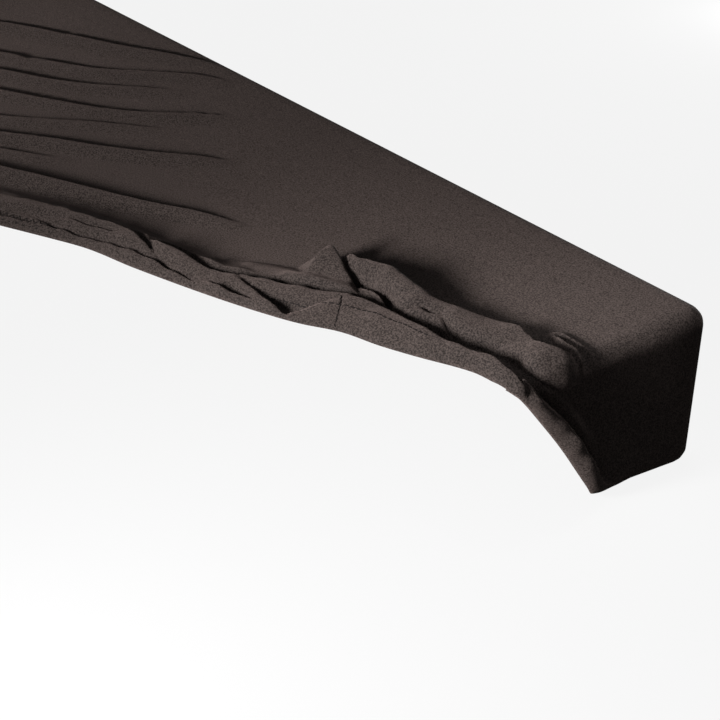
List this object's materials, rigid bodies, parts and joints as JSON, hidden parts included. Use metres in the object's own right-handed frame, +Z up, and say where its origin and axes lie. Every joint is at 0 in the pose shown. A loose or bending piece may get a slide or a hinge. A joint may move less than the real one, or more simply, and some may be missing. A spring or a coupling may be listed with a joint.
{
  "type": "fitted stretch dust cover",
  "caption": "Charcoal stretch-knit fitted dust cover for a 73-note keyboard, its hem pulled back and bunched in folds at the right front.",
  "frame": {"origin": "under the top cloth, in the middle of the length and of the depth, where the cover rests on what it hides", "axes": "+X along the length towards the pulled-back right end, -Y towards the player's side, +Z up"},
  "size_m": [1.0798, 0.3499, 0.1045],
  "materials": {
    "knit": "matt two-way stretch knit"
  },
  "bodies": {
    "root": {"cover_cloth": "knit"}
  },
  "joints": []
}
